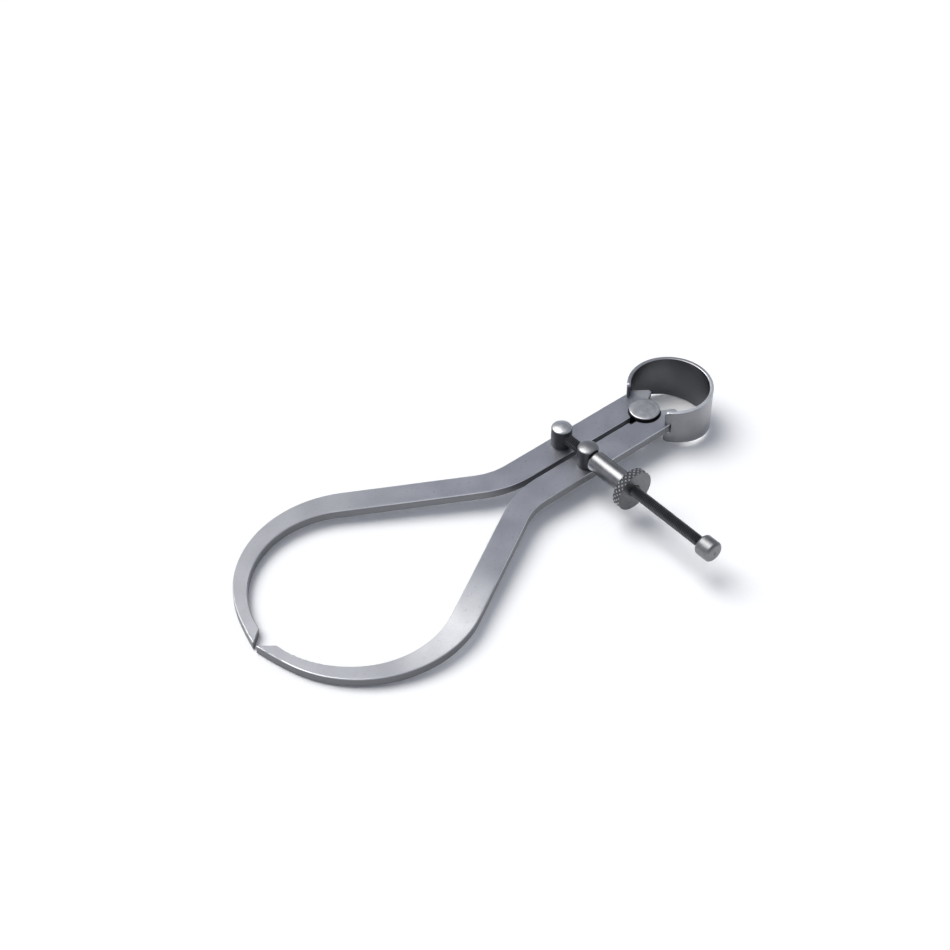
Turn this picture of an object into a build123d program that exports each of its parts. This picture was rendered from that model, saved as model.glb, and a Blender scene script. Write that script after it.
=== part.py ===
from build123d import *
import os
from math import asin, atan2, cos, degrees, hypot, radians, sin, sqrt, tan

os.makedirs("parts", exist_ok=True)

# An outside spring caliper, lying flat. The fulcrum is at the origin, the tips point to -X and
# the bow spring stands past the fulcrum on +X. The far leg is on +Y and the near leg on -Y.

# Legs: flat plates with a straight shank, a slanted arm and a curved end
reach = 150.0
leg_thickness = 3.0
leg_gap = 1.5
leg_edge_radius = 0.3
shank_width = 8.9
shank_length = 55.0
arm_width = 7.8
outer_arc_radius = 36.1
outer_arc_rise = 0.8
outer_tip_radius = 95.0
outer_tip_angle = 18.7
crown_width = 6.4
inner_crown_inset = 7.0
inner_tip_growth = 3.3
inner_tip_angle = 55.0
outer_bend_radius = 20.0
inner_bend_radius = 34.0
tip_gap = 1.8
tip_flat = 0.4
tip_bevel_height = 3.5

# Leg heads, past the fulcrum
opening_angle = 30.0
head_relief_angle = 1.0
head_relief_gap = 0.3
head_length = 8.2
head_end_width = 1.2
head_end_radius = 0.45
head_shoulder = 1.9
head_shoulder_radius = 2.0
inner_relief_length = 7.6
inner_relief_depth = 1.1

# Fulcrum roller: a spool that the legs bear on
roller_diameter = 9.8
roller_waist_diameter = 6.6
roller_disc_thickness = 1.0
roller_chamfer = 0.2
bearing_clearance = 0.05

# Bow spring: a strip with forked ends that straddle the legs, deepest at its crown
bow_bulge = 3.4
bow_thickness = 1.2
bow_rise = 6.3
bow_end_depth = 5.45
bow_crown_depth = 10.0
bow_corner_radius = 1.2
bow_seat_distance = 2.2
bow_seat_clearance = 0.1
bow_edge_radius = 0.2
fork_depth = 2.1
fork_clearance = 0.15

# Swivel posts, one in each leg, riveted over a collar under the leg
post_distance = 29.9
post_inset = 3.75
post_diameter = 6.5
post_height = 7.4
post_rim = 0.4
post_dome_height = 0.45
post_shank_diameter = 3.2
collar_diameter = 5.6
collar_thickness = 0.6
rivet_diameter = 4.4
rivet_height = 0.55
rivet_round = 0.25
screw_height = 3.65
thrust_flat_depth = 0.5
screw_hole_clearance = 0.15

# Adjusting screw, its pin in the anchor post and its end cap
screw_diameter = 3.5
screw_root_length = 2.2
screw_free_length = 60.4
pin_diameter = 1.2
pin_recess = 0.1
cap_diameter = 6.6
cap_length = 5.6
cap_chamfer = 0.7
cap_wall = 1.5

# Adjusting nut: a plain sleeve with a knurled head
sleeve_length = 15.3
sleeve_diameter = 6.5
sleeve_chamfer = 1.2
head_diameter = 13.5
head_thickness = 2.7
head_chamfer = 0.2
thread_clearance = 0.05
nose_clearance = 0.05

# Places that several pieces share
leg_top = leg_thickness / 2
inner_edge = leg_gap / 2
outer_edge = inner_edge + shank_width
post_y = outer_edge - post_inset
post_radius = post_diameter / 2
shank_radius = post_shank_diameter / 2
post_foot = leg_top + bearing_clearance
post_top = leg_top + post_height
collar_bottom = -leg_top - bearing_clearance - collar_thickness
rivet_bottom = collar_bottom - rivet_height
seat_radius = roller_waist_diameter / 2 + bearing_clearance
screw_radius = screw_diameter / 2
screw_axis = leg_top + screw_height

# The bow's mid line meets the outer edges of the legs where its forks end
bow_mid_radius = outer_edge + bow_bulge
bow_inner_radius = bow_mid_radius - bow_thickness / 2
bow_outer_radius = bow_mid_radius + bow_thickness / 2
bow_centre = bow_seat_distance + sqrt(bow_mid_radius**2 - outer_edge**2)
fork_angle = 180 - degrees(asin(outer_edge / bow_mid_radius))
bow_end_angle = fork_angle + degrees(fork_depth / bow_mid_radius)
bow_end_x = bow_centre + bow_outer_radius * cos(radians(bow_end_angle))
bow_crown_x = bow_centre + bow_outer_radius

# A plane across the screw at the anchor post. Its Z axis runs along the screw to the end cap.
screw_plane = Plane(origin=(-post_distance, post_y, screw_axis), x_dir=(1, 0, 0), z_dir=(0, -1, 0))
thrust_flat = 2 * post_y + post_radius - thrust_flat_depth
nut_start = thrust_flat + nose_clearance


def leg_outline():
    """Outline of the far leg."""
    # The outer side of the curve is an arc that a larger one carries on to the tip
    tip_y = tip_gap / 2
    outer_join = 180 - outer_tip_angle
    outer_step = outer_tip_radius - outer_arc_radius
    tip_centre_y = outer_arc_rise - outer_step * sin(radians(outer_join))
    tip_centre_x = sqrt(outer_tip_radius**2 - (tip_y - tip_centre_y) ** 2) - reach
    tip_angle = degrees(atan2(tip_y - tip_centre_y, -reach - tip_centre_x))
    arc_centre = Vector(tip_centre_x + outer_step * cos(radians(outer_join)), outer_arc_rise)

    # The arm's outer edge is the tangent from the bend to the outer arc
    bend = Vector(-shank_length, outer_edge)
    to_centre = arc_centre - bend
    distance = hypot(to_centre.X, to_centre.Y)
    arm_angle = atan2(to_centre.Y, -to_centre.X) + asin(outer_arc_radius / distance)
    normal = Vector(sin(arm_angle), cos(arm_angle))
    normal_angle = 90 - degrees(arm_angle)
    outer_tangent = arc_centre + normal * outer_arc_radius
    arm_inner = outer_tangent - normal * arm_width
    inner_bend = Vector(arm_inner.X + (arm_inner.Y - inner_edge) / tan(arm_angle), inner_edge)

    # The inner side is made the same way, down to the bevel of the tip
    inner_crown_radius = outer_arc_radius - inner_crown_inset
    inner_tip_radius = inner_crown_radius + inner_tip_growth
    crown_y = outer_arc_rise + outer_arc_radius - crown_width - inner_crown_radius
    line_distance = normal.X * arm_inner.X + normal.Y * arm_inner.Y - inner_crown_radius
    crown_x = (line_distance - normal.Y * crown_y) / normal.X
    inner_tangent = Vector(crown_x, crown_y) + normal * inner_crown_radius
    inner_join = 180 - inner_tip_angle
    bevel_centre_x = crown_x - inner_tip_growth * cos(radians(inner_join))
    bevel_centre_y = crown_y - inner_tip_growth * sin(radians(inner_join))
    bevel_y = tip_y + tip_bevel_height
    bevel_x = bevel_centre_x - sqrt(inner_tip_radius**2 - (bevel_y - bevel_centre_y) ** 2)
    bevel_angle = degrees(atan2(bevel_y - bevel_centre_y, bevel_x - bevel_centre_x))

    # The head's inner side leans back, so that the heads don't meet when the legs open
    relief = radians(opening_angle + head_relief_angle)
    relief_x = -head_relief_gap * sin(relief)
    relief_y = head_relief_gap * cos(relief)
    head_base = (relief_x + (inner_edge - relief_y) / tan(relief), inner_edge)
    head_corner = (head_length, relief_y + (head_length - relief_x) * tan(relief))
    head_top = (head_length, head_corner[1] + head_end_width)
    shoulder = (bow_seat_distance + head_shoulder, outer_edge)

    with BuildSketch() as outline:
        with BuildLine():
            Polyline(inner_bend, head_base, head_corner, head_top, shoulder, bend, outer_tangent)
            CenterArc(arc_centre, outer_arc_radius, normal_angle, outer_join - normal_angle)
            CenterArc((tip_centre_x, tip_centre_y), outer_tip_radius, outer_join, tip_angle - outer_join)
            Polyline((-reach, tip_y), (tip_flat - reach, tip_y), (bevel_x, bevel_y))
            bevel_centre = (bevel_centre_x, bevel_centre_y)
            CenterArc(bevel_centre, inner_tip_radius, bevel_angle, inner_join - bevel_angle)
            CenterArc((crown_x, crown_y), inner_crown_radius, inner_join, normal_angle - inner_join)
            Line(inner_tangent, inner_bend)
        make_face()
        rounded = [
            (bend, outer_bend_radius),
            (inner_bend, inner_bend_radius),
            (shoulder, head_shoulder_radius),
            (head_top, head_end_radius),
            (head_corner, head_end_radius),
        ]
        for corner, radius in rounded:
            fillet(outline.vertices().sort_by_distance(corner)[0], radius)
    return outline.sketch


def ring_sector(inner_radius, outer_radius, start_angle, end_angle):
    """Flat piece of a ring about the bow's axis."""
    span = end_angle - start_angle
    with BuildSketch() as sector:
        with BuildLine():
            inner = CenterArc((bow_centre, 0), inner_radius, start_angle, span)
            outer = CenterArc((bow_centre, 0), outer_radius, start_angle, span)
            Line(inner @ 0, outer @ 0)
            Line(inner @ 1, outer @ 1)
        make_face()
    return sector.sketch


# Blank of the far leg, with the notch for the bow's fork
with BuildPart() as leg_blank:
    with BuildSketch(Plane.XY.offset(-leg_top)):
        add(leg_outline())
    extrude(amount=leg_thickness)
    # The tip and its bevel stay sharp
    rims = leg_blank.faces().filter_by(Axis.Z).edges()
    sharp_rims = rims.filter_by(GeomType.LINE).sort_by(Axis.X)[:4]
    fillet(rims - sharp_rims, leg_edge_radius)
    seat_angle = fork_angle + degrees(bow_seat_clearance / bow_mid_radius)
    seat_inner_radius = bow_inner_radius - bow_seat_clearance
    seat_outer_radius = bow_outer_radius + bow_thickness
    with BuildSketch(Plane.XY.offset(-leg_top)):
        add(ring_sector(seat_inner_radius, seat_outer_radius, 90, seat_angle))
    extrude(amount=leg_thickness, mode=Mode.SUBTRACT)
    with BuildSketch(Plane.XY.offset(-leg_top)):
        Circle(seat_radius)
        with Locations((-post_distance, post_y)):
            Circle(shank_radius + bearing_clearance)
    extrude(amount=leg_thickness, mode=Mode.SUBTRACT)

# Far leg
with BuildPart() as far_leg:
    add(leg_blank.part)
far_leg.part.label = "far_leg"

# Near leg: the mirrored blank, with its inner edge cut back beside the roller
with BuildPart() as near_leg:
    add(mirror(leg_blank.part, about=Plane.XZ, mode=Mode.PRIVATE))
    with BuildSketch(Plane.XY.offset(-leg_top)):
        with Locations((-inner_relief_length, -inner_edge - inner_relief_depth)):
            Rectangle(inner_relief_length, inner_relief_depth + leg_gap, align=(Align.MIN, Align.MIN))
    extrude(amount=leg_thickness, mode=Mode.SUBTRACT)
near_leg.part.label = "near_leg"

# Fulcrum roller
roller_top = leg_top + bearing_clearance + roller_disc_thickness
with BuildPart() as fulcrum_roller:
    with BuildSketch(Plane.XY.offset(-roller_top)):
        Circle(roller_diameter / 2)
    extrude(amount=2 * roller_top)
    chamfer(fulcrum_roller.edges(), roller_chamfer)
    with BuildSketch(Plane.XY.offset(-post_foot)):
        Circle(roller_diameter)
        Circle(roller_waist_diameter / 2, mode=Mode.SUBTRACT)
    extrude(amount=2 * post_foot, mode=Mode.SUBTRACT)
fulcrum_roller.part.label = "fulcrum_roller"

# Bow spring
slot_height = leg_thickness + 2 * fork_clearance
slot_end_angle = bow_end_angle + degrees(fork_depth / bow_mid_radius)
with BuildPart() as bow_spring:
    with BuildSketch(Plane.XY.offset(-bow_crown_depth)):
        add(ring_sector(bow_inner_radius, bow_outer_radius, -bow_end_angle, bow_end_angle))
    extrude(amount=bow_crown_depth + bow_rise)
    # The lower edge drops in a straight line from the forks to the crown
    with BuildSketch(Plane.XZ):
        Polygon(
            (bow_end_x, -bow_end_depth),
            (bow_end_x, -bow_crown_depth),
            (bow_crown_x, -bow_crown_depth),
            align=None,
        )
    extrude(amount=bow_outer_radius + bow_thickness, both=True, mode=Mode.SUBTRACT)
    # The corners of the forks, then the long edges
    straight_edges = bow_spring.edges().filter_by(GeomType.LINE)
    fillet(straight_edges.filter_by(Axis.Z, reverse=True), bow_corner_radius)
    fillet(bow_spring.edges().filter_by(GeomType.LINE, reverse=True), bow_edge_radius)
    with BuildSketch(Plane.XY.offset(-slot_height / 2)):
        slot_inner_radius = bow_inner_radius - bow_thickness
        slot_outer_radius = bow_outer_radius + bow_thickness
        for start in (fork_angle, -slot_end_angle):
            end = start + slot_end_angle - fork_angle
            add(ring_sector(slot_inner_radius, slot_outer_radius, start, end))
    extrude(amount=slot_height, mode=Mode.SUBTRACT)
bow_spring.part.label = "bow_spring"


def swivel_post(side):
    """Turned post: a domed head on the leg, a shank through it and a riveted end below it."""
    dome_reach = post_radius - post_rim
    dome_radius = (dome_reach**2 + post_dome_height**2) / (2 * post_dome_height)
    rivet_radius = rivet_diameter / 2
    centre = (-post_distance, side * post_y, 0)
    with BuildPart() as post:
        with BuildSketch(Plane(origin=centre, x_dir=(1, 0, 0), z_dir=(0, -1, 0))):
            with BuildLine():
                dome = JernArc((0, post_top), (1, 0), dome_radius, -degrees(asin(dome_reach / dome_radius)))
                Polyline(
                    dome @ 1,
                    (post_radius, post_top - post_dome_height - post_rim),
                    (post_radius, post_foot),
                    (shank_radius, post_foot),
                    (shank_radius, collar_bottom),
                    (rivet_radius, collar_bottom),
                    (rivet_radius, rivet_bottom + rivet_round),
                    (rivet_radius - rivet_round, rivet_bottom),
                    (0, rivet_bottom),
                    (0, post_top),
                )
            make_face()
        revolve(axis=Axis(centre, (0, 0, 1)))
    return post.part


def post_collar(side):
    """Washer that holds a post in its leg."""
    with BuildPart() as collar:
        with BuildSketch(Plane.XY.offset(collar_bottom)):
            with Locations((-post_distance, side * post_y)):
                Circle(collar_diameter / 2)
                Circle(shank_radius, mode=Mode.SUBTRACT)
        extrude(amount=collar_thickness)
    return collar.part


# Anchor post, on the far leg, which grips the screw
pin_plane = Plane.YZ.offset(-post_distance - post_radius + pin_recess)
with BuildPart() as anchor_post:
    add(swivel_post(1))
    with BuildSketch(screw_plane.offset(-screw_root_length)):
        Circle(screw_radius)
    extrude(amount=screw_root_length + post_diameter, mode=Mode.SUBTRACT)
    with BuildSketch(pin_plane.offset(-pin_recess)):
        with Locations((post_y, screw_axis)):
            Circle(pin_diameter / 2)
    extrude(amount=post_diameter, mode=Mode.SUBTRACT)
anchor_post.part.label = "anchor_post"

with BuildPart() as anchor_collar:
    add(post_collar(1))
anchor_collar.part.label = "anchor_collar"

# Thrust post, on the near leg, with a flat for the nose of the nut
with BuildPart() as thrust_post:
    add(swivel_post(-1))
    with BuildSketch(screw_plane.offset(2 * post_y - post_diameter)):
        Circle(screw_radius + screw_hole_clearance)
    extrude(amount=2 * post_diameter, mode=Mode.SUBTRACT)
    with BuildSketch(screw_plane.offset(thrust_flat)):
        with Locations((0, post_foot - screw_axis)):
            Rectangle(post_diameter, post_height, align=(Align.CENTER, Align.MIN))
    extrude(amount=post_diameter, mode=Mode.SUBTRACT)
thrust_post.part.label = "thrust_post"

with BuildPart() as thrust_collar:
    add(post_collar(-1))
thrust_collar.part.label = "thrust_collar"

# Adjusting screw
with BuildPart() as adjusting_screw:
    with BuildSketch(screw_plane.offset(-screw_root_length)):
        Circle(screw_radius)
    extrude(amount=screw_root_length + screw_free_length + cap_length - cap_wall)
    with BuildSketch(pin_plane):
        with Locations((post_y, screw_axis)):
            Circle(pin_diameter / 2)
    extrude(amount=post_diameter, mode=Mode.SUBTRACT)
adjusting_screw.part.label = "adjusting_screw"

# Pin through the anchor post and the screw
with BuildPart() as screw_pin:
    with BuildSketch(pin_plane):
        with Locations((post_y, screw_axis)):
            Circle(pin_diameter / 2)
    extrude(amount=post_diameter - 2 * pin_recess)
screw_pin.part.label = "screw_pin"

# End cap, which stops the nut
with BuildPart() as end_cap:
    with BuildSketch(screw_plane.offset(screw_free_length)):
        Circle(cap_diameter / 2)
    extrude(amount=cap_length)
    chamfer(end_cap.edges(), cap_chamfer)
    with BuildSketch(screw_plane.offset(screw_free_length)):
        Circle(screw_radius)
    extrude(amount=cap_length - cap_wall, mode=Mode.SUBTRACT)
end_cap.part.label = "end_cap"

# Adjusting nut
with BuildPart() as adjusting_nut:
    with BuildSketch(screw_plane.offset(nut_start)):
        Circle(sleeve_diameter / 2)
    extrude(amount=sleeve_length)
    chamfer(adjusting_nut.edges().sort_by(Axis.Y)[-1], sleeve_chamfer)
    with BuildSketch(screw_plane.offset(nut_start + sleeve_length)):
        Circle(head_diameter / 2)
    extrude(amount=head_thickness)
    rims = adjusting_nut.edges().filter_by(GeomType.CIRCLE).sort_by(SortBy.RADIUS)[-2:]
    chamfer(rims, head_chamfer)
    with BuildSketch(screw_plane.offset(nut_start)):
        Circle(screw_radius + thread_clearance)
    extrude(amount=sleeve_length + head_thickness, mode=Mode.SUBTRACT)
adjusting_nut.part.label = "adjusting_nut"

pieces = [
    far_leg,
    near_leg,
    fulcrum_roller,
    bow_spring,
    anchor_post,
    anchor_collar,
    thrust_post,
    thrust_collar,
    adjusting_screw,
    screw_pin,
    end_cap,
    adjusting_nut,
]
for piece in pieces:
    export_step(piece.part, f"parts/{piece.part.label}.step")
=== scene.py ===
from math import atan, atan2, cos, degrees, hypot, pi, radians, sin

import bpy
from mathutils import Matrix, Vector


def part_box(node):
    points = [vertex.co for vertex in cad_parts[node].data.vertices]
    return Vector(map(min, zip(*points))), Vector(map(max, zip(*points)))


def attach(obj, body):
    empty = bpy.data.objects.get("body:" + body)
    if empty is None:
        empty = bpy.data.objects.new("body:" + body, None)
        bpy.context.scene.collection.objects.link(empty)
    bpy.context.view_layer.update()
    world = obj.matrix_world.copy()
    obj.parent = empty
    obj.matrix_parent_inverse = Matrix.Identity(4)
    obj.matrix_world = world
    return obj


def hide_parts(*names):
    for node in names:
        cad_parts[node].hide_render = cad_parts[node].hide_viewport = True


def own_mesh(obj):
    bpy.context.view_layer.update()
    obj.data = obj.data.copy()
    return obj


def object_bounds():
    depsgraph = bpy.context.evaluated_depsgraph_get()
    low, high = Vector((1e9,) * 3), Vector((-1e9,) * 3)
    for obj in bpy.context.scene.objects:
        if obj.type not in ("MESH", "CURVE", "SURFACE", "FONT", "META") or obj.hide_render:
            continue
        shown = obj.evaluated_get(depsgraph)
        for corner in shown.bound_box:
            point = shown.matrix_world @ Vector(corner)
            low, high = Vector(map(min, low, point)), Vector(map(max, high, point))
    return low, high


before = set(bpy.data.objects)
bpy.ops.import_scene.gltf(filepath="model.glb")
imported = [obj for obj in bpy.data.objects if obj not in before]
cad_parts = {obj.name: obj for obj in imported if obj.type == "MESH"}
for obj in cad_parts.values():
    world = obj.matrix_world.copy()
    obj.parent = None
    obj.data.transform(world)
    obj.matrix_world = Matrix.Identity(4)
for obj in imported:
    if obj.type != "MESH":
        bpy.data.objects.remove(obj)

cadLow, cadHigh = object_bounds()
mm = 0.001
origin = Vector((0, 0, 0))
near = 0.01  # in mm: places closer than this count as the same
mergeWithin = 0.001 * mm
cutWithin = 0.0001 * mm
cutterSides = 48


# Shader maths: a wrapped socket takes the usual operators, and each one adds a Math node
class Value:
    def __init__(self, graph, socket):
        self.graph = graph
        self.socket = socket

    def maths(self, operation, *terms):
        return self.graph.node("ShaderNodeMath", {"operation": operation}, terms)

    def __add__(self, other):
        return self.maths("ADD", self, other)

    def __radd__(self, other):
        return self.maths("ADD", other, self)

    def __sub__(self, other):
        return self.maths("SUBTRACT", self, other)

    def __rsub__(self, other):
        return self.maths("SUBTRACT", other, self)

    def __mul__(self, other):
        return self.maths("MULTIPLY", self, other)

    def __rmul__(self, other):
        return self.maths("MULTIPLY", other, self)

    def __pow__(self, other):
        return self.maths("POWER", self, other)

    def __abs__(self):
        return self.maths("ABSOLUTE", self)


class Graph:
    def __init__(self, name):
        self.material = bpy.data.materials.new(name)
        self.material.use_nodes = True
        self.tree = self.material.node_tree
        self.tree.nodes.clear()

    # Any node: its type, its settings, then a list or a dictionary of what its sockets get
    def node(self, kind, settings=None, inputs=(), output=0):
        node = self.tree.nodes.new(kind)
        for name, value in (settings or {}).items():
            setattr(node, name, value)
        pairs = inputs.items() if isinstance(inputs, dict) else enumerate(inputs)
        for key, value in pairs:
            if isinstance(value, Value):
                self.tree.links.new(value.socket, node.inputs[key])
            else:
                node.inputs[key].default_value = value
        return Value(self, node.outputs[output]) if node.outputs else None

    def place(self, centre=origin):
        spot = self.node("ShaderNodeTexCoord", output="Object")
        return self.node("ShaderNodeVectorMath", {"operation": "SUBTRACT"}, [spot, centre])

    def part(self, vector, axis):
        return self.node("ShaderNodeSeparateXYZ", {}, [vector], axis)

    def join(self, x, y, z):
        return self.node("ShaderNodeCombineXYZ", {}, [x, y, z])

    def stretch(self, vector, factors):
        return self.node("ShaderNodeVectorMath", {"operation": "MULTIPLY"}, [vector, factors])

    def distance(self, vector):
        return self.node("ShaderNodeVectorMath", {"operation": "LENGTH"}, [vector], "Value")

    # Cloudy grain whose lumps are about as wide as size, in metres
    def grain(self, vector, size, detail=3.0):
        return self.node("ShaderNodeTexNoise", {}, {"Vector": vector, "Scale": 1 / size, "Detail": detail})

    # Goes smoothly from 0 at low to 1 at high
    def rise(self, value, low, high):
        smooth = {"interpolation_type": "SMOOTHSTEP"}
        return self.node("ShaderNodeMapRange", smooth, [value, low, high, 0.0, 1.0])

    # Mixes two colours: the node takes its factor at 0 and its colours at 6 and 7, and gives the mix at 2
    def blend(self, share, first, second):
        colours = {0: share, 6: (*first, 1) if isinstance(first, tuple) else first}
        colours[7] = (*second, 1) if isinstance(second, tuple) else second
        return self.node("ShaderNodeMix", {"data_type": "RGBA"}, colours, 2)

    def facing(self, axis):
        normal = self.node("ShaderNodeNewGeometry", output="Normal")
        return abs(self.part(normal, axis))

    # Full strength, less by the amount where the share is 0
    def uneven(self, share, amount):
        return (1 - amount) + share * amount

    # Ends the graph as a metal with a fine relief, whose depth is in metres
    def metal(self, colour, roughness, relief, depth):
        bump = self.node("ShaderNodeBump", {}, {"Height": relief, "Distance": depth, "Strength": 1.0})
        surface = {"Base Color": colour, "Roughness": roughness, "Metallic": 1.0, "Normal": bump}
        shader = self.node("ShaderNodeBsdfPrincipled", {}, surface)
        self.node("ShaderNodeOutputMaterial", {}, [shader])
        return self.material


# Camera, at the photograph's viewing angle
cameraSetup = {
    "azimuth": -130.316,
    "elevation": 44.101,
    "roll": 0.178,
    "distance": 569.956 * mm,
    "aim": (-62 * mm, 0, 0),
    "panRight": -5.892 * mm,
    "panUp": 8.736 * mm,
    "lens": 72.047,
    "sensor": 36.0,
    "clipStart": 10 * mm,
}


def addCamera():
    turn = radians(cameraSetup["azimuth"])
    height = radians(cameraSetup["elevation"])
    roll = radians(cameraSetup["roll"])
    back = Vector((cos(height) * cos(turn), cos(height) * sin(turn), sin(height)))
    level = Vector((0, 0, 1)).cross(back).normalized()
    upright = back.cross(level)
    right = level * cos(roll) + upright * sin(roll)
    up = upright * cos(roll) - level * sin(roll)
    aim = Vector(cameraSetup["aim"]) + right * cameraSetup["panRight"] + up * cameraSetup["panUp"]
    spot = aim + back * cameraSetup["distance"]
    data = bpy.data.cameras.new("camera")
    data.lens = cameraSetup["lens"]
    data.sensor_width = cameraSetup["sensor"]
    data.clip_start = cameraSetup["clipStart"]
    camera = bpy.data.objects.new("camera", data)
    bpy.context.scene.collection.objects.link(camera)
    camera.matrix_world = Matrix.Translation(spot) @ Matrix((right, up, back)).transposed().to_4x4()
    bpy.context.scene.camera = camera


# The tool lies on its tips and on the bow's crown, so the floor is tilted in its frame
floorSetup = {
    "tipX": cadLow.x,
    "tipZ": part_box("near_leg")[0].z,
    "crownX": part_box("bow_spring")[1].x,
    "crownZ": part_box("bow_spring")[0].z,
    "under": 0.02 * mm,
    "size": 60.0,
    "colour": (0.93, 0.933, 0.94, 1),
    "roughness": 0.7,
    "glow": 0.01,
}


def addFloor():
    slope = (floorSetup["crownZ"] - floorSetup["tipZ"]) / (floorSetup["crownX"] - floorSetup["tipX"])
    spot = (floorSetup["crownX"], 0, floorSetup["crownZ"] - floorSetup["under"])
    bpy.ops.mesh.primitive_plane_add(size=floorSetup["size"], location=spot)
    floor = bpy.context.object
    floor.name = "floor"
    floor.rotation_euler = (0, -atan(slope), 0)
    graph = Graph("paleFloor")
    cameraRay = graph.node("ShaderNodeLightPath", output="Is Camera Ray")
    glossyRay = graph.node("ShaderNodeLightPath", output="Is Glossy Ray")
    clearRay = graph.node("ShaderNodeLightPath", output="Is Transmission Ray")
    seen = cameraRay.maths("MAXIMUM", cameraRay, glossyRay.maths("MAXIMUM", glossyRay, clearRay))
    surface = {"Base Color": floorSetup["colour"], "Roughness": floorSetup["roughness"]}
    pale = graph.node("ShaderNodeBsdfPrincipled", {}, surface)
    shine = {"Color": (1, 1, 1, 1), "Strength": seen * floorSetup["glow"]}
    glow = graph.node("ShaderNodeEmission", {}, shine)
    both = graph.node("ShaderNodeAddShader", {}, [pale, glow])
    graph.node("ShaderNodeOutputMaterial", {}, [both])
    floor.data.materials.append(graph.material)


# One wide soft light behind the tool on its left, in a room that is palest near the horizon, dimmest above
# that and a little lighter overhead. Each stop of the room is at the sine of its height above the horizon.
lightSetup = {
    "towards": (-0.345, 0.705, 1.44),
    "width": 46,
    "strength": 2.75,
    "colour": (1.0, 0.985, 0.965),
    "room": [
        (0.20, (0.61, 0.64, 0.72)),
        (0.42, (0.24, 0.255, 0.295)),
        (0.66, (0.285, 0.30, 0.335)),
        (0.90, (0.38, 0.40, 0.45)),
    ],
}


def addLights():
    data = bpy.data.lights.new("softLight", "SUN")
    data.angle = radians(lightSetup["width"])
    data.energy = lightSetup["strength"]
    data.color = lightSetup["colour"]
    lamp = bpy.data.objects.new("softLight", data)
    bpy.context.scene.collection.objects.link(lamp)
    spot = Vector(lightSetup["towards"])
    lamp.location = spot
    lamp.rotation_euler = (-spot).to_track_quat("-Z", "Y").to_euler()

    world = bpy.data.worlds.new("studio")
    bpy.context.scene.world = world
    world.use_nodes = True
    tree = world.node_tree
    way = tree.nodes.new("ShaderNodeTexCoord")
    parts = tree.nodes.new("ShaderNodeSeparateXYZ")
    ramp = tree.nodes.new("ShaderNodeValToRGB")
    stops = ramp.color_ramp.elements
    while len(stops) < len(lightSetup["room"]):
        stops.new(0.5)
    for stop, (height, colour) in zip(stops, lightSetup["room"]):
        stop.position = height
        stop.color = (*colour, 1)
    tree.links.new(way.outputs["Generated"], parts.inputs[0])
    tree.links.new(parts.outputs["Z"], ramp.inputs[0])
    tree.links.new(ramp.outputs["Color"], tree.nodes["Background"].inputs["Color"])


# Selecting, turning, cutting and finishing, which the pieces below are made with
def clearSelection():
    bpy.ops.object.select_all(action="DESELECT")


def selectOnly(piece):
    clearSelection()
    piece.select_set(True)
    bpy.context.view_layer.objects.active = piece


# Selects the vertices, or the edges between vertices, that a test on their place accepts
def selectByPlace(piece, test, edges=False):
    bpy.ops.object.mode_set(mode="OBJECT")
    mesh = piece.data
    for items in (mesh.polygons, mesh.edges, mesh.vertices):
        items.foreach_set("select", [False] * len(items))
    chosen = [test(vertex.co / mm) for vertex in mesh.vertices]
    if edges:
        for edge in mesh.edges:
            edge.select = chosen[edge.vertices[0]] and chosen[edge.vertices[1]]
    else:
        mesh.vertices.foreach_set("select", chosen)
    bpy.context.tool_settings.mesh_select_mode = (not edges, edges, False)
    bpy.ops.object.mode_set(mode="EDIT")


# Selects the faces whose centre a test accepts
def selectFaces(piece, test):
    bpy.ops.object.mode_set(mode="OBJECT")
    mesh = piece.data
    for items in (mesh.edges, mesh.vertices):
        items.foreach_set("select", [False] * len(items))
    mesh.polygons.foreach_set("select", [test(face.center / mm) for face in mesh.polygons])
    bpy.context.tool_settings.mesh_select_mode = (False, False, True)
    bpy.ops.object.mode_set(mode="EDIT")


def applyModifier(piece, kind, **settings):
    selectOnly(piece)
    modifier = piece.modifiers.new(kind.lower(), kind)
    for name, value in settings.items():
        setattr(modifier, name, value)
    bpy.ops.object.modifier_apply(modifier=modifier.name)


# A turned shape about the Z axis: a ring is extruded and resized along the profile, in mm.
# A bored one ends where it starts, so that its first and last rings are merged.
def turned(name, profile, sides, bored=False):
    clearSelection()
    along, radius = profile[0]
    fill = "NOTHING" if bored else "NGON"
    bpy.ops.mesh.primitive_circle_add(
        vertices=sides, radius=radius * mm, location=(0, 0, along * mm), fill_type=fill
    )
    piece = bpy.context.object
    piece.name = name
    bpy.ops.object.transform_apply(location=True, rotation=True, scale=True)
    bpy.ops.object.mode_set(mode="EDIT")
    bpy.ops.mesh.select_all(action="SELECT")
    for nextAlong, nextRadius in profile[1:]:
        bpy.ops.mesh.extrude_region_move(TRANSFORM_OT_translate={"value": (0, 0, (nextAlong - along) * mm)})
        share = nextRadius / radius
        bpy.ops.transform.resize(value=(share, share, 1), center_override=(0, 0, nextAlong * mm))
        along, radius = nextAlong, nextRadius
    bpy.ops.mesh.select_all(action="SELECT")
    if bored:
        bpy.ops.mesh.remove_doubles(threshold=mergeWithin)
    bpy.ops.mesh.normals_make_consistent(inside=False)
    bpy.ops.object.mode_set(mode="OBJECT")
    return piece


# Rounds the rims of a turned shape that lie at these places along it and radii, in mm
def roundRims(piece, rims, width, segments=3):
    selectOnly(piece)
    for along, radius in rims:
        selectByPlace(
            piece,
            lambda spot: abs(spot.z - along) < near and abs(hypot(spot.x, spot.y) - radius) < near,
            edges=True,
        )
        bpy.ops.mesh.bevel(offset=width * mm, segments=segments, affect="EDGES")
        bpy.ops.object.mode_set(mode="OBJECT")


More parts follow.
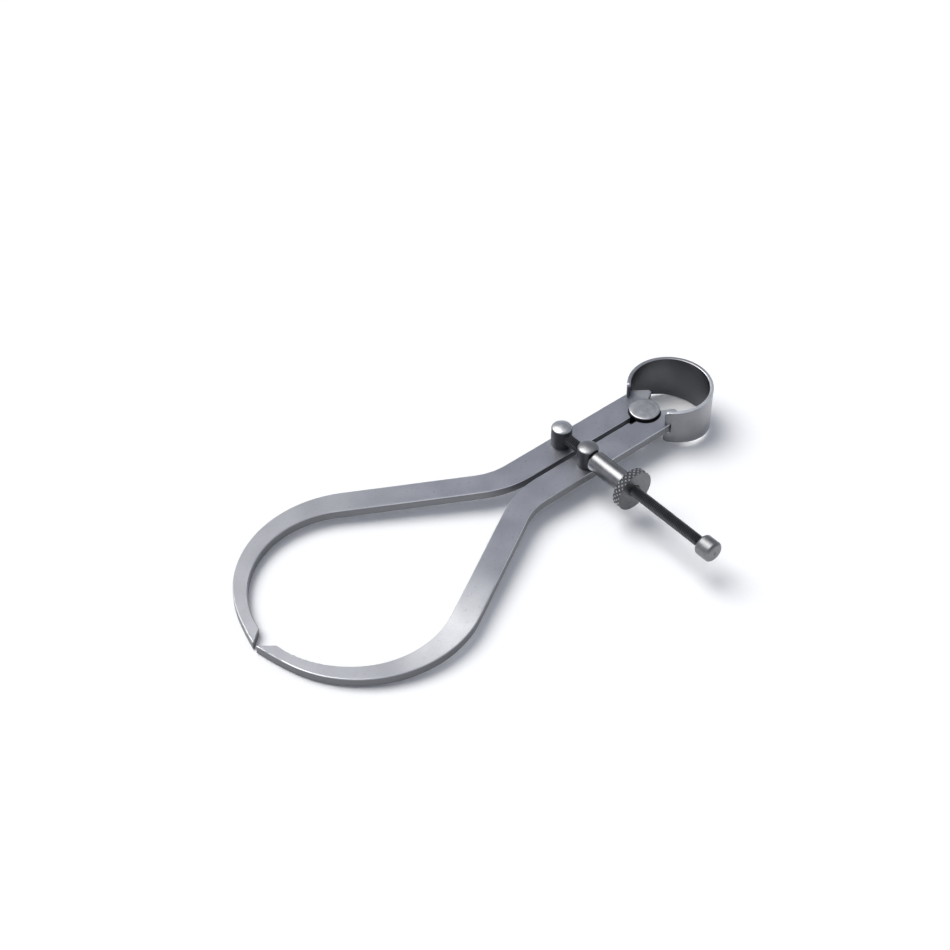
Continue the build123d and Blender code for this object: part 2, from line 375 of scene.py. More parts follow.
def cylinderCutter(radius, start, end):
    clearSelection()
    middle = (start + end) / 2
    way = end - start
    bpy.ops.mesh.primitive_cylinder_add(
        vertices=cutterSides, radius=radius, depth=way.length, location=middle
    )
    cutter = bpy.context.object
    cutter.rotation_euler = way.to_track_quat("Z", "Y").to_euler()
    bpy.ops.object.transform_apply(location=True, rotation=True, scale=True)
    return cutter


def cutWith(piece, cutter):
    applyModifier(piece, "BOOLEAN", operation="DIFFERENCE", object=cutter, solver="EXACT")
    bpy.data.objects.remove(cutter)


# Puts the shape at its place in the frame, gives it its finish and body, and hides the CAD node that it
# replaces
def finishPiece(piece, node, body, material, spot=origin, turn=0.0, smoothAngle=32):
    selectOnly(piece)
    piece.rotation_euler = (turn, 0, 0)
    piece.location = spot
    bpy.ops.object.transform_apply(location=True, rotation=True, scale=True)
    bpy.ops.object.shade_smooth_by_angle(angle=radians(smoothAngle))
    piece.data.materials.clear()
    piece.data.materials.append(material)
    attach(piece, body)
    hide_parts(node)
    print("piece ready:", piece.name, len(piece.data.polygons), "faces")


bpy.context.scene.view_settings.view_transform = "Standard"
addCamera()
addFloor()
addLights()
print("camera, floor and lights ready")

# Places that several pieces share, read from the frame
screwLow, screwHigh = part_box("adjusting_screw")
nutLow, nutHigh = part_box("adjusting_nut")
capLow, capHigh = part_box("end_cap")
bowLow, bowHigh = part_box("bow_spring")
rollerLow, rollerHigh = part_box("fulcrum_roller")
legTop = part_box("far_leg")[1].z
screwLine = (screwLow + screwHigh) / 2
screwRadius = (screwHigh.x - screwLow.x) / 2
towardsCap = pi / 2  # turns +Z to -Y, along the screw from the anchor post to the cap


# Legs: ground flat steel with a polished patch on the near curve that also carries painted sheen, sides
# darkened with painted shade, and rims lightened with painted highlights over edge wear
legFinish = {
    "ground": (0.45, 0.462, 0.515),
    "pale": (0.50, 0.512, 0.56),
    "flatFacing": (0.90, 0.995),
    "sideFacing": (0.12, 0.45),
    # Painted reflection: the faces turn paler from dullTo to brightFrom, towards the tips
    "tips": (0.59, 0.595, 0.615),
    "tipsShare": 0.8,
    "dullTo": -62 * mm,
    "brightFrom": -115 * mm,
    # Painted highlight: the heads inside the bow are paler
    "head": (0.66, 0.67, 0.69),
    "headShare": 0.8,
    "headFrom": 2.5 * mm,
    "headFade": 1.5 * mm,
    # A polished patch on the near curve, brightened further with painted sheen
    "polishedSheen": (0.97, 0.975, 0.985),
    "polishSheenSpot": (-103 * mm, -31.5 * mm, 0),
    "polishSheenReach": 27 * mm,
    "polishSheenUneven": 0.2,
    # Painted shadow: a dark ring on the legs round the roller
    "rollerShadow": (0.03, 0.03, 0.033),
    "rollerShadowSpot": (-0.35 * mm, -0.4 * mm, 0),
    "rollerShadowReach": 5.35 * mm,
    "rollerShadowFade": 0.3 * mm,
    "stain": (0.25, 0.25, 0.26),
    "stainRange": (0.60, 0.74),
    "stainShare": 0.35,
    "stainLessAtTips": 0.2,
    "grainRange": (0.35, 0.75),
    "grainShare": 0.14,
    # Painted shade: the upright sides are darker
    "side": (0.155, 0.16, 0.17),
    "sideUneven": 0.10,
    # Painted highlights with edge wear: the rims are paler, less so at the tips
    "rim": (0.90, 0.91, 0.93),
    "rimTips": (0.46, 0.47, 0.49),
    "rimUneven": 0.20,
    "cloudSize": 9 * mm,
    "cloudRange": (0.32, 0.68),
    "stainSize": 1.3 * mm,
    "grainSize": 0.16 * mm,
    "scratchWidth": 0.09 * mm,
    "scratchStretch": (0.05, 1, 1),
    "scratchRelief": 0.4,
    "relief": 0.008 * mm,
    "roughness": 0.27,
    "roughnessOf": {"cloud": 0.03, "grain": 0.12, "side": 0.06, "polishSheen": 0.08},
}


def legMaterial():
    finish = legFinish
    graph = Graph("groundLegSteel")
    place = graph.place()
    upward = graph.facing("Z")
    flat = graph.rise(upward, *finish["flatFacing"])
    side = 1 - graph.rise(upward, *finish["sideFacing"])
    cloud = graph.rise(graph.grain(place, finish["cloudSize"], detail=4.0), *finish["cloudRange"])
    stain = graph.rise(graph.grain(place, finish["stainSize"]), *finish["stainRange"])
    grain = graph.grain(place, finish["grainSize"], detail=2.0)
    scratch = graph.grain(graph.stretch(place, finish["scratchStretch"]), finish["scratchWidth"], detail=2.0)
    x = graph.part(place, "X")

    # Ground faces: paler towards the tips as painted reflection, polished on the near curve with painted
    # sheen, and pale on the heads as a painted highlight
    towardsTips = 1 - graph.rise(x, finish["brightFrom"], finish["dullTo"])
    colour = graph.blend(cloud, finish["ground"], finish["pale"])
    colour = graph.blend(towardsTips * finish["tipsShare"], colour, finish["tips"])
    fromPolishSheen = graph.distance(graph.place(finish["polishSheenSpot"]))
    polishSheen = 1 - graph.rise(fromPolishSheen, 0.0, finish["polishSheenReach"])
    colour = graph.blend(polishSheen * graph.uneven(cloud, finish["polishSheenUneven"]), colour, finish["polishedSheen"])
    head = graph.rise(x, finish["headFrom"], finish["headFrom"] + finish["headFade"])
    colour = graph.blend(head * finish["headShare"], colour, finish["head"])
    stained = finish["stainShare"] - towardsTips * finish["stainLessAtTips"]
    colour = graph.blend(stain * stained, colour, finish["stain"])
    speckle = graph.rise(grain, *finish["grainRange"]) * finish["grainShare"]
    colour = graph.blend(speckle, colour, finish["stain"])

    # Rims lightened by painted highlights and wear, sides darkened by painted shade, and a painted shadow
    # round the roller
    rim = graph.blend(towardsTips, finish["rim"], finish["rimTips"])
    colour = graph.blend((1 - flat) * graph.uneven(scratch, finish["rimUneven"]), colour, rim)
    colour = graph.blend(side * graph.uneven(grain, finish["sideUneven"]), colour, finish["side"])
    fromRoller = graph.distance(graph.stretch(graph.place(finish["rollerShadowSpot"]), (1, 1, 0)))
    rollerShadow = 1 - graph.rise(fromRoller, finish["rollerShadowReach"] - finish["rollerShadowFade"], finish["rollerShadowReach"])
    colour = graph.blend(rollerShadow, colour, finish["rollerShadow"])
    rougher = finish["roughnessOf"]
    roughness = finish["roughness"] + cloud * rougher["cloud"] + grain * rougher["grain"]
    roughness = roughness + side * rougher["side"] + polishSheen * rougher["polishSheen"]
    relief = grain * (1 - finish["scratchRelief"]) + scratch * finish["scratchRelief"]
    return graph.metal(colour, roughness, relief, finish["relief"])


legSteel = legMaterial()
for name in ("far_leg", "near_leg"):
    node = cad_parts[name]
    node.data.materials.clear()
    node.data.materials.append(legSteel)
print("legs painted")


# Turned steel: rings on the faces and fine lines round the barrels, about an axis through centre
turnedFinish = {
    "light": (0.60, 0.605, 0.62),
    "dark": (0.48, 0.485, 0.50),
    # Painted shade, laid where a piece's darken mask says
    "paintedShade": (0.055, 0.055, 0.06),
    "paintedShadeUneven": 0.10,
    # Painted glints and wear on the knurl's points
    "wearAndGlint": (0.85, 0.855, 0.87),
    "lineSize": 0.22 * mm,
    "fineSize": 0.06 * mm,
    "cloudSize": 2.2 * mm,
    "ringShare": 0.4,
    "shadeRange": (0.38, 0.62),
    "fineRelief": 0.3,
    "relief": 0.006 * mm,
    "roughnessOf": {"cloud": 0.10, "fine": 0.08, "paintedShade": 0.10},
}


# Distance from the axis, and place along it, as two sockets
def turningPlace(graph, centre, axis):
    place = graph.place(centre)
    across = [graph.part(place, name) for name in "XYZ" if name != axis]
    radius = (across[0] * across[0] + across[1] * across[1]) ** 0.5
    return radius, graph.part(place, axis)


def turnedMaterial(name, centre, axis, darken=None, roughness=0.28, tone=1.0, shine=None):
    finish = turnedFinish
    graph = Graph(name)
    radius, along = turningPlace(graph, centre, axis)
    lines = graph.grain(graph.join(radius, along, 0.0), finish["lineSize"])
    fine = graph.grain(graph.join(radius, along, 0.0), finish["fineSize"], detail=1.0)
    cloud = graph.grain(graph.place(), finish["cloudSize"])
    streaks = lines * finish["ringShare"] + cloud * (1 - finish["ringShare"])
    shade = graph.rise(streaks, *finish["shadeRange"])
    dark = tuple(level * tone for level in finish["dark"])
    light = tuple(level * tone for level in finish["light"])
    colour = graph.blend(shade, dark, light)
    rougher = finish["roughnessOf"]
    rough = roughness + cloud * rougher["cloud"] + fine * rougher["fine"]
    # Painted shade where the darken mask says
    if darken:
        paintedShade = darken(graph, radius, along)
        colour = graph.blend(paintedShade * graph.uneven(cloud, finish["paintedShadeUneven"]), colour, finish["paintedShade"])
        rough = rough + paintedShade * rougher["paintedShade"]
    # Painted glints and wear on the points that the shine mask picks
    if shine:
        colour = graph.blend(shine(graph, radius, along), colour, finish["wearAndGlint"])
    relief = lines * (1 - finish["fineRelief"]) + fine * finish["fineRelief"]
    return graph.metal(colour, rough, relief, finish["relief"])


# Fulcrum roller: two discs on a waist, with rims darkened by painted shade
roller = {
    "discRadius": (rollerHigh.x - rollerLow.x) / 2 / mm,
    "waistRadius": 3.3,
    "bottom": rollerLow.z / mm,
    "top": rollerHigh.z / mm,
    "disc": 1.0,
    "rimRound": 0.22,
    "rimSteps": 4,
    "crownRadius": 4.2,
    "crown": 0.06,
    "sides": 96,
    "paintedShadeFacing": (0.15, 0.55),
    "roughness": 0.24,
    "tone": 1.12,
}


# Painted shade on the upright rims
def rollerPaintedShade(graph, radius, along):
    return 1 - graph.rise(graph.facing("Z"), *roller["paintedShadeFacing"])


def makeRoller():
    low = roller["bottom"]
    high = roller["top"]
    disc = roller["discRadius"]
    crown = roller["crown"]
    profile = [
        (low, roller["crownRadius"]),
        (low + crown, disc),
        (low + roller["disc"], disc),
        (low + roller["disc"], roller["waistRadius"]),
        (high - roller["disc"], roller["waistRadius"]),
        (high - roller["disc"], disc),
        (high - crown, disc),
        (high, roller["crownRadius"]),
    ]
    piece = turned("fulcrumSpool", profile, roller["sides"])
    rims = [(low + crown, disc), (high - crown, disc)]
    roundRims(piece, rims, roller["rimRound"], roller["rimSteps"])
    material = turnedMaterial(
        "rollerSteel", origin, "Z", rollerPaintedShade, roughness=roller["roughness"], tone=roller["tone"]
    )
    finishPiece(piece, "fulcrum_roller", "fulcrum", material)


makeRoller()


# Bow spring: a strip bent to a ring, deepest at its crown and forked at both ends
bow = {
    "centre": (bowHigh.x - (bowHigh.y - bowLow.y) / 2) / mm,
    "outerRadius": (bowHigh.y - bowLow.y) / 2 / mm,
    "thickness": 1.2,
    "rise": bowHigh.z / mm,
    "endDepth": 5.45,
    "crownDepth": 10.0,
    "cornerRound": 1.2,
    "forkAngle": 132.31,
    "forkDepth": 2.1,
    "slotHeight": 3.3,
    "edgeRound": 0.2,
    "edgeSteps": 3,
    "edgeAngle": 50,
    "steps": 96,
    "forkSteps": 12,
    "keep": 0.847,
    "finish": {
        "wall": (0.26, 0.265, 0.28),
        "wallPale": (0.33, 0.335, 0.35),
        "streakShare": 0.4,
        # Painted shade at the forks and painted highlight at the crown, along the outer wall
        "forkWall": (0.17, 0.173, 0.185),
        "forkFade": (-13 * mm, 6 * mm),
        "forkShare": 0.7,
        "crownWall": (0.56, 0.565, 0.58),
        "crownFade": (-3 * mm, 9 * mm),
        "crownShare": 0.6,
        # Painted shade on the inner wall; the same dark colour also marks the grain speckle
        "inside": (0.128, 0.131, 0.138),
        "insideFade": 0.2 * mm,
        # Painted highlight on the strip's edges, partly polished: brightest on the near side
        "rim": (0.47, 0.475, 0.49),
        "rimBright": (0.93, 0.94, 0.96),
        "rimFade": (-8 * mm, 2 * mm),
        "rimFacing": (0.25, 0.75),
        "streakSize": 0.3 * mm,
        "streakStretch": 0.06,
        "cloudSize": 5 * mm,
        "cloudRange": (0.3, 0.7),
        "grainSize": 0.14 * mm,
        "grainRange": (0.4, 0.8),
        "grainShare": 0.25,
        "streakRelief": 0.5,
        "relief": 0.010 * mm,
        "roughness": 0.30,
        "roughnessOf": {"cloud": 0.06, "grain": 0.14, "rim": -0.08},
    },
}


def bowMaterial():
    finish = bow["finish"]
    graph = Graph("springSteel")
    place = graph.place((bow["centre"] * mm, 0, 0))
    x = graph.part(place, "X")
    y = graph.part(place, "Y")
    z = graph.part(place, "Z")
    radius = (x * x + y * y) ** 0.5
    around = x.maths("ARCTAN2", y, x) * (bow["outerRadius"] * mm)
    middle = (bow["outerRadius"] - bow["thickness"] / 2) * mm
    streak = graph.grain(graph.join(around * finish["streakStretch"], z, 0.0), finish["streakSize"])
    cloud = graph.rise(graph.grain(place, finish["cloudSize"]), *finish["cloudRange"])
    grain = graph.grain(place, finish["grainSize"], detail=2.0)
    inner = 1 - graph.rise(radius, middle - finish["insideFade"], middle + finish["insideFade"])
    rim = graph.rise(graph.facing("Z"), *finish["rimFacing"])

    # The outer wall has painted shade at the forks and a painted highlight at the crown, and the inner one
    # has painted shade all round
    mottle = cloud * (1 - finish["streakShare"]) + streak * finish["streakShare"]
    colour = graph.blend(mottle, finish["wall"], finish["wallPale"])
    forks = (1 - graph.rise(x, *finish["forkFade"])) * finish["forkShare"]
    colour = graph.blend(forks, colour, finish["forkWall"])
    crown = graph.rise(x, *finish["crownFade"]) * finish["crownShare"]
    colour = graph.blend(crown, colour, finish["crownWall"])
    speckle = graph.rise(grain, *finish["grainRange"]) * finish["grainShare"]
    colour = graph.blend(speckle, colour, finish["inside"])
    colour = graph.blend(inner, colour, finish["inside"])
    # Painted highlight on the edges, brighter on the near side
    nearSide = 1 - graph.rise(y, *finish["rimFade"])
    colour = graph.blend(rim, colour, graph.blend(nearSide, finish["rim"], finish["rimBright"]))
    rougher = finish["roughnessOf"]
    roughness = finish["roughness"] + cloud * rougher["cloud"]
    roughness = roughness + grain * rougher["grain"] + rim * rougher["rim"]
    relief = grain * (1 - finish["streakRelief"]) + streak * finish["streakRelief"]
    return graph.metal(colour, roughness, relief, finish["relief"])


# Sets the height of the strip's long edges: level above, slanted below, round at the forks' corners
def shapeBowEdges(piece, end):
    middle = bow["outerRadius"] - bow["thickness"] / 2
    endX = bow["outerRadius"] * cos(radians(end))
    slope = (bow["endDepth"] - bow["crownDepth"]) / (bow["outerRadius"] - endX)
    corner = bow["cornerRound"]
    for vertex in piece.data.vertices:
        x, y, z = vertex.co / mm
        past = max(0, corner + radians(degrees(abs(atan2(y, x))) - end) * middle)
        drop = corner - max(0, corner**2 - past**2) ** 0.5
        if z > bow["rise"] - near:
            vertex.co.z = (bow["rise"] - drop) * mm
        elif z < near - bow["crownDepth"]:
            vertex.co.z = (slope * (x - endX) - bow["endDepth"] + drop) * mm


def makeBow():
    middle = bow["outerRadius"] - bow["thickness"] / 2
    fork = bow["forkAngle"]
    end = fork + degrees(bow["forkDepth"] / middle)
    height = bow["rise"] + bow["crownDepth"]
    slotTop = bow["slotHeight"] / 2
    clearSelection()
    bpy.ops.mesh.primitive_plane_add(size=1)
    piece = bpy.context.object
    piece.name = "bowStrip"
    piece.scale = (bow["thickness"] * mm, height * mm, 1)
    piece.rotation_euler = (pi / 2, 0, 0)
    piece.location = (middle * mm, 0, (bow["rise"] - height / 2) * mm)
    bpy.ops.object.transform_apply(location=True, rotation=True, scale=True)
    piece.rotation_euler = (0, 0, radians(fork))
    bpy.ops.object.transform_apply(location=True, rotation=True, scale=True)
    bpy.ops.object.mode_set(mode="EDIT")

    # The section is split at the top and bottom of the forks' slots, then spun from fork to fork
    for level in (slotTop, -slotTop):
        bpy.ops.mesh.select_all(action="SELECT")
        bpy.ops.mesh.bisect(plane_co=(0, 0, level * mm), plane_no=(0, 0, 1), threshold=cutWithin)
    bpy.ops.mesh.select_all(action="SELECT")
    bpy.ops.mesh.spin(steps=bow["steps"], angle=radians(2 * fork), center=(0, 0, 0), axis=(0, 0, 1))
    bpy.ops.mesh.select_all(action="SELECT")
    bpy.ops.mesh.remove_doubles(threshold=mergeWithin)

    # The fingers of a fork go on from the section's upper and lower faces
    for side in (1, -1):
        turn = side * radians(fork)
        across = Vector((-sin(turn), cos(turn), 0))
        selectFaces(piece, lambda spot: abs(spot.dot(across)) < near and spot.x < 0 and abs(spot.z) > slotTop)
        bpy.ops.mesh.spin(
            steps=bow["forkSteps"], angle=-side * radians(end - fork), center=(0, 0, 0), axis=(0, 0, 1)
        )
    bpy.ops.mesh.select_all(action="SELECT")
    bpy.ops.mesh.remove_doubles(threshold=mergeWithin)
    bpy.ops.mesh.normals_make_consistent(inside=False)
    bpy.ops.object.mode_set(mode="OBJECT")
    shapeBowEdges(piece, end)
    applyModifier(
        piece, "BEVEL", width=bow["edgeRound"] * mm, segments=bow["edgeSteps"], limit_method="ANGLE",
        angle_limit=radians(bow["edgeAngle"]), use_clamp_overlap=False,
    )
    spot = (bow["centre"] * mm, 0, 0)
    finishPiece(piece, "bow_spring", "bow", bowMaterial(), spot)
    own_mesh(piece)


makeBow()


# Swivel posts: domed heads, shanks through the legs and riveted ends
post = {
    "radius": 3.25,
    "rim": 0.4,
    "domeHeight": 0.45,
    "domeSteps": 7,
    "shankRadius": 1.6,
    "footGap": 0.05,
    "collarBottom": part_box("anchor_collar")[0].z / mm,
    "rivetRadius": 2.2,
    "rivetRound": 0.25,
    "rimRound": 0.18,
    "sides": 72,
    "holeReach": 10.0,
    "holeClearance": 0.15,
    # Painted shade on the upright sides, below this facing
    "paintedShadeFacing": (0.35, 0.80),
    "anchorTone": 1.05,
    # The thrust post is the same steel, darkened as painted shade
    "thrustShadedTone": 0.57,
}
postSpots = {
    "anchor_post": sum(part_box("anchor_collar"), origin) / 2,
    "thrust_post": sum(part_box("thrust_collar"), origin) / 2,
}


# Painted shade on the posts' upright sides
def postPaintedShade(graph, radius, along):
    return 1 - graph.rise(graph.facing("Z"), *post["paintedShadeFacing"])


def postShape(name, node):
    low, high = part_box(node)
    bottom = low.z / mm
    top = high.z / mm
    reach = post["radius"] - post["rim"]
    sphere = (reach**2 + post["domeHeight"] ** 2) / (2 * post["domeHeight"])
    shoulder = top - post["domeHeight"] - post["rim"]
    foot = legTop / mm + post["footGap"]
    profile = [
        (bottom, post["rivetRadius"] - post["rivetRound"]),
        (bottom + post["rivetRound"], post["rivetRadius"]),
        (post["collarBottom"], post["rivetRadius"]),
        (post["collarBottom"], post["shankRadius"]),
        (foot, post["shankRadius"]),
        (foot, post["radius"]),
        (shoulder, post["radius"]),
    ]
    steps = post["domeSteps"]
    for step in range(steps):
        radius = reach * (1 - step / steps)
        profile.append((top - sphere + (sphere**2 - radius**2) ** 0.5, radius))
    piece = turned(name, profile, post["sides"])
    roundRims(piece, [(shoulder, post["radius"])], post["rimRound"])
    return piece


# The anchor post has a blind hole for the screw, the thrust post a wider one and a flat for the nut
def makePosts():
    away = Vector((0, post["holeReach"] * mm, 0))
    level = Vector((0, 0, screwLine.z))
    anchor = postShape("anchorPost", "anchor_post")
    spot = Vector((postSpots["anchor_post"].x, postSpots["anchor_post"].y, 0))
    holeEnd = Vector((0, screwHigh.y - spot.y, screwLine.z))
    cutWith(anchor, cylinderCutter(screwRadius, holeEnd, level - away))
    material = turnedMaterial("anchorPostSteel", spot, "Z", postPaintedShade, tone=post["anchorTone"])
    finishPiece(anchor, "anchor_post", "anchor", material, spot)

    thrust = postShape("thrustPost", "thrust_post")
    spot = Vector((postSpots["thrust_post"].x, postSpots["thrust_post"].y, 0))
    holeRadius = screwRadius + post["holeClearance"] * mm
    cutWith(thrust, cylinderCutter(holeRadius, level + away, level - away))
    selectOnly(thrust)
    bpy.ops.object.mode_set(mode="EDIT")
    bpy.ops.mesh.select_all(action="SELECT")
    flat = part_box("thrust_post")[0].y - spot.y
    bpy.ops.mesh.bisect(
        plane_co=(0, flat, 0), plane_no=(0, -1, 0), use_fill=True, clear_outer=True, threshold=cutWithin
    )
    bpy.ops.object.mode_set(mode="OBJECT")
    material = turnedMaterial("thrustPostSteel", spot, "Z", postPaintedShade, tone=post["thrustShadedTone"])
    finishPiece(thrust, "thrust_post", "thrust", material, spot)


makePosts()


# Adjusting screw: a blackened rod with a thread that is cut all along it
screw = {
    "pitch": 0.6,
    "depth": 0.33,
    "shoulderDepth": 0.10,
    "length": (screwHigh.y - screwLow.y) / mm,
    "crest": screwRadius / mm,
    "steps": 30,
    "profileCuts": 3,
    "spareTurns": 3,
    "startTurns": 1.5,
    "mergeWithin": 0.002 * mm,
    "smoothAngle": 50,
    "finish": {
        "black": (0.082, 0.083, 0.088),
        "wearAndGlint": (0.22, 0.22, 0.23),
        "crestFade": (0.12 * mm, 0.01 * mm),
        "crestShare": 0.25,
        "wearShare": 0.5,
        "wearSize": 2.5 * mm,
        "wearRange": (0.35, 0.7),
        "grainSize": 0.2 * mm,
        "relief": 0.01 * mm,
        "roughness": 0.30,
        "grainRoughness": 0.2,
    },
}


def screwMaterial():
    finish = screw["finish"]
    graph = Graph("blackenedSteel")
    radius = turningPlace(graph, (screwLine.x, 0, screwLine.z), "Y")[0]
    grain = graph.grain(graph.place(), finish["grainSize"], detail=2.0)
    wear = graph.rise(graph.grain(graph.place(), finish["wearSize"]), *finish["wearRange"])
    deep, shallow = finish["crestFade"]
    crest = graph.rise(radius, screwRadius - deep, screwRadius - shallow)
    wearAndGlint = crest * (finish["crestShare"] + wear * finish["wearShare"])
    colour = graph.blend(wearAndGlint, finish["black"], finish["wearAndGlint"])
    roughness = finish["roughness"] + grain * finish["grainRoughness"]
    return graph.metal(colour, roughness, grain, finish["relief"])


def makeScrew():
    pitch = screw["pitch"]
    clearSelection()
    spot = ((screw["crest"] + pitch / 2) * mm, 0, pitch / 2 * mm)
    bpy.ops.mesh.primitive_plane_add(size=pitch * mm, location=spot, rotation=(pi / 2, 0, 0))
    piece = bpy.context.object
    piece.name = "threadedRod"
    bpy.ops.object.transform_apply(location=True, rotation=True, scale=True)
    selectByPlace(piece, lambda spot: spot.x > screw["crest"] + near)
    bpy.ops.mesh.delete(type="VERT")
    bpy.ops.mesh.select_all(action="SELECT")
    bpy.ops.mesh.subdivide(number_cuts=screw["profileCuts"])
    selectByPlace(piece, lambda spot: near < spot.z < pitch - near)
    bpy.ops.transform.translate(value=(-screw["shoulderDepth"] * mm, 0, 0))
    selectByPlace(piece, lambda spot: abs(spot.z - pitch / 2) < near)
    bpy.ops.transform.translate(value=((screw["shoulderDepth"] - screw["depth"]) * mm, 0, 0))
    bpy.ops.object.mode_set(mode="OBJECT")
    turns = int(screw["length"] / pitch) + screw["spareTurns"]
    applyModifier(
        piece, "SCREW", axis="Z", angle=2 * pi, screw_offset=pitch * mm, iterations=turns,
        steps=screw["steps"], render_steps=screw["steps"],
    )
    bpy.ops.object.mode_set(mode="EDIT")
    bpy.ops.mesh.select_all(action="SELECT")
    bpy.ops.mesh.remove_doubles(threshold=screw["mergeWithin"])

    # The first and last turns are cut off square, so that the rod is solid from end to end
    start = screw["startTurns"] * pitch
    for cut, way in ((start, -1), (start + screw["length"], 1)):
        bpy.ops.mesh.select_all(action="SELECT")
        bpy.ops.mesh.bisect(
            plane_co=(0, 0, cut * mm), plane_no=(0, 0, way), use_fill=True, clear_outer=True,
            threshold=cutWithin,
        )
    bpy.ops.mesh.select_all(action="SELECT")
    bpy.ops.mesh.normals_make_consistent(inside=False)
    bpy.ops.object.mode_set(mode="OBJECT")
    spot = Vector((screwLine.x, screwHigh.y + start * mm, screwLine.z))
    material = screwMaterial()
    angle = screw["smoothAngle"]
    finishPiece(piece, "adjusting_screw", "anchor", material, spot, towardsCap, angle)


makeScrew()


# End cap: a button with round rims and a centre drill mark in its face
cap = {
    "length": (capHigh.y - capLow.y) / mm,
    "radius": (capHigh.x - capLow.x) / 2 / mm,
    "chamfer": 0.7,
    "wall": 1.5,
    "rimRound": 0.3,
    "dimpleRadius": 0.5,
    "dimpleDepth": 0.45,
    "dimpleBottom": 0.06,
    "boreClearance": 0.01,
    "sides": 72,
    "roughness": 0.37,
    "tone": 0.43,
}


def makeCap():
    length = cap["length"]
    radius = cap["radius"]
    chamfer = cap["chamfer"]
    bore = screwRadius / mm + cap["boreClearance"]
    profile = [
        (length - cap["wall"], bore),
        (0, bore),
        (0, radius - chamfer),
        (chamfer, radius),
        (length - chamfer, radius),
        (length, radius - chamfer),
        (length, cap["dimpleRadius"]),
        (length - cap["dimpleDepth"], cap["dimpleBottom"]),
    ]
    piece = turned("screwButton", profile, cap["sides"])
    rims = [
        (0, radius - chamfer),
        (chamfer, radius),
        (length - chamfer, radius),
        (length, radius - chamfer),
    ]
    roundRims(piece, rims, cap["rimRound"])
    spot = Vector((screwLine.x, capHigh.y, screwLine.z))
    centre = (screwLine.x, 0, screwLine.z)
    material = turnedMaterial("buttonSteel", centre, "Y", roughness=cap["roughness"], tone=cap["tone"])
    finishPiece(piece, "end_cap", "anchor", material, spot, towardsCap)


makeCap()


# Adjusting nut: a plain sleeve and a head with a diamond knurl, turned from one bar
nut = {
    "length": (nutHigh.y - nutLow.y) / mm,
    "bore": 1.8,
    "sleeveRadius": 3.25,
    "noseRound": 1.2,
    "noseSteps": 6,
    "headRadius": (nutHigh.x - nutLow.x) / 2 / mm,
    "headThickness": 2.7,
    "headChamfer": 0.2,
    "neckDepth": 0.25,
    "neckWidth": 0.5,
    "noseCountersink": 0.15,
    "countersink": 0.35,
    "diamonds": 24,
    "knurlRows": 3,
    "knurlDepth": 0.38,
    "smoothAngle": 28,
    "roughness": 0.27,
    "tone": 0.44,
    "finish": {
        "headBand": (0.75, 0.70),  # bands are depths under the head's rim, in mm
        "valleyBand": (0.36, 0.10),
        "pointBand": (0.20, 0.02),
        "faceFacing": (0.90, 0.97),
        "valleyPaintedShade": 0.62,
        "facePaintedShade": 0.38,
    },
}


def towardsRim(graph, radius, band):
    deep, shallow = band
    return graph.rise(radius, (nut["headRadius"] - deep) * mm, (nut["headRadius"] - shallow) * mm)


# Painted shade in the valleys of the knurl, and a lighter painted shade on the faces
def nutPaintedShade(graph, radius, along):
    finish = nut["finish"]
    head = towardsRim(graph, radius, finish["headBand"])
    valley = 1 - towardsRim(graph, radius, finish["valleyBand"])
    face = graph.rise(graph.facing("Y"), *finish["faceFacing"])
    return head * valley * (1 - face) * finish["valleyPaintedShade"] + face * finish["facePaintedShade"]


# The points of the knurl, lightened with painted glints as well as wear
def nutShine(graph, radius, along):
    finish = nut["finish"]
    barrel = 1 - graph.rise(graph.facing("Y"), *finish["faceFacing"])
    return towardsRim(graph, radius, finish["pointBand"]) * barrel


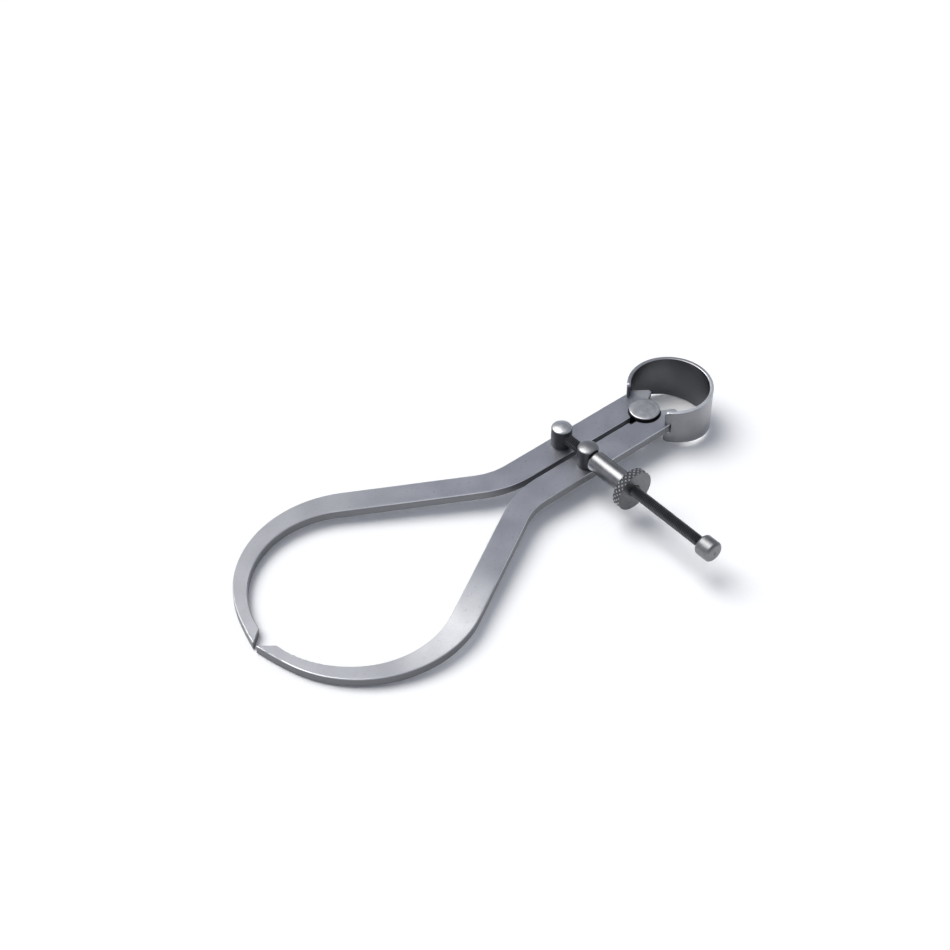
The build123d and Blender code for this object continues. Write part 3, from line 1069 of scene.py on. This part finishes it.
def makeNut():
    length = nut["length"]
    bore = nut["bore"]
    sleeve = nut["sleeveRadius"]
    head = nut["headRadius"]
    back = length - nut["headThickness"]
    chamfer = nut["headChamfer"]
    knurlStart = back + chamfer
    knurlStep = (nut["headThickness"] - 2 * chamfer) / nut["knurlRows"]
    knurl = [(knurlStart + row * knurlStep, head) for row in range(nut["knurlRows"] + 1)]
    nosing = nut["noseRound"]
    turns = [step / nut["noseSteps"] * pi / 2 for step in range(nut["noseSteps"] + 1)]
    nose = [(nosing * (1 - cos(turn)), sleeve - nosing * (1 - sin(turn))) for turn in turns]
    profile = [
        (nut["noseCountersink"], bore),
        (0, bore + nut["noseCountersink"]),
        *nose,
        (back - nut["neckWidth"], sleeve),
        (back - nut["neckWidth"] / 2, sleeve - nut["neckDepth"]),
        (back, sleeve - nut["neckDepth"]),
        (back, head - chamfer),
        *knurl,
        (length, head - chamfer),
        (length, bore + nut["countersink"]),
        (length - nut["countersink"], bore),
        (nut["noseCountersink"], bore),
    ]
    piece = turned("knurledNut", profile, 2 * nut["diamonds"], bored=True)

    # Every other vertex of the head's rim is pushed in, so that the rows make diamonds
    part = pi / nut["diamonds"]

    def pushed(spot):
        if abs(hypot(spot.x, spot.y) - head) > near:
            return False
        row = round((spot.z - knurlStart) / knurlStep)
        column = round(Vector((spot.x, spot.y)).angle_signed(Vector((0, 1))) / part)
        return (row + column) % 2 == 1

    selectByPlace(piece, pushed)
    share = 1 - nut["knurlDepth"] / head
    bpy.ops.transform.resize(value=(share, share, 1), center_override=(0, 0, 0))
    selectByPlace(piece, lambda spot: hypot(spot.x, spot.y) > head - nut["knurlDepth"] - near)
    bpy.ops.mesh.quads_convert_to_tris(quad_method="SHORTEST_DIAGONAL")
    bpy.ops.object.mode_set(mode="OBJECT")
    spot = Vector((screwLine.x, nutHigh.y, screwLine.z))
    centre = (screwLine.x, 0, screwLine.z)
    material = turnedMaterial(
        "nutSteel", centre, "Y", nutPaintedShade, roughness=nut["roughness"], tone=nut["tone"], shine=nutShine
    )
    finishPiece(piece, "adjusting_nut", "nut", material, spot, towardsCap, nut["smoothAngle"])


makeNut()

# Collars and pin stay as they are in the frame, with turned steel
for name, axis in (("anchor_collar", "Z"), ("thrust_collar", "Z"), ("screw_pin", "X")):
    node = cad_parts[name]
    centre = sum(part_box(name), origin) / 2
    node.data.materials.clear()
    node.data.materials.append(turnedMaterial(name + "Steel", centre, axis))
print("collars and pin painted")
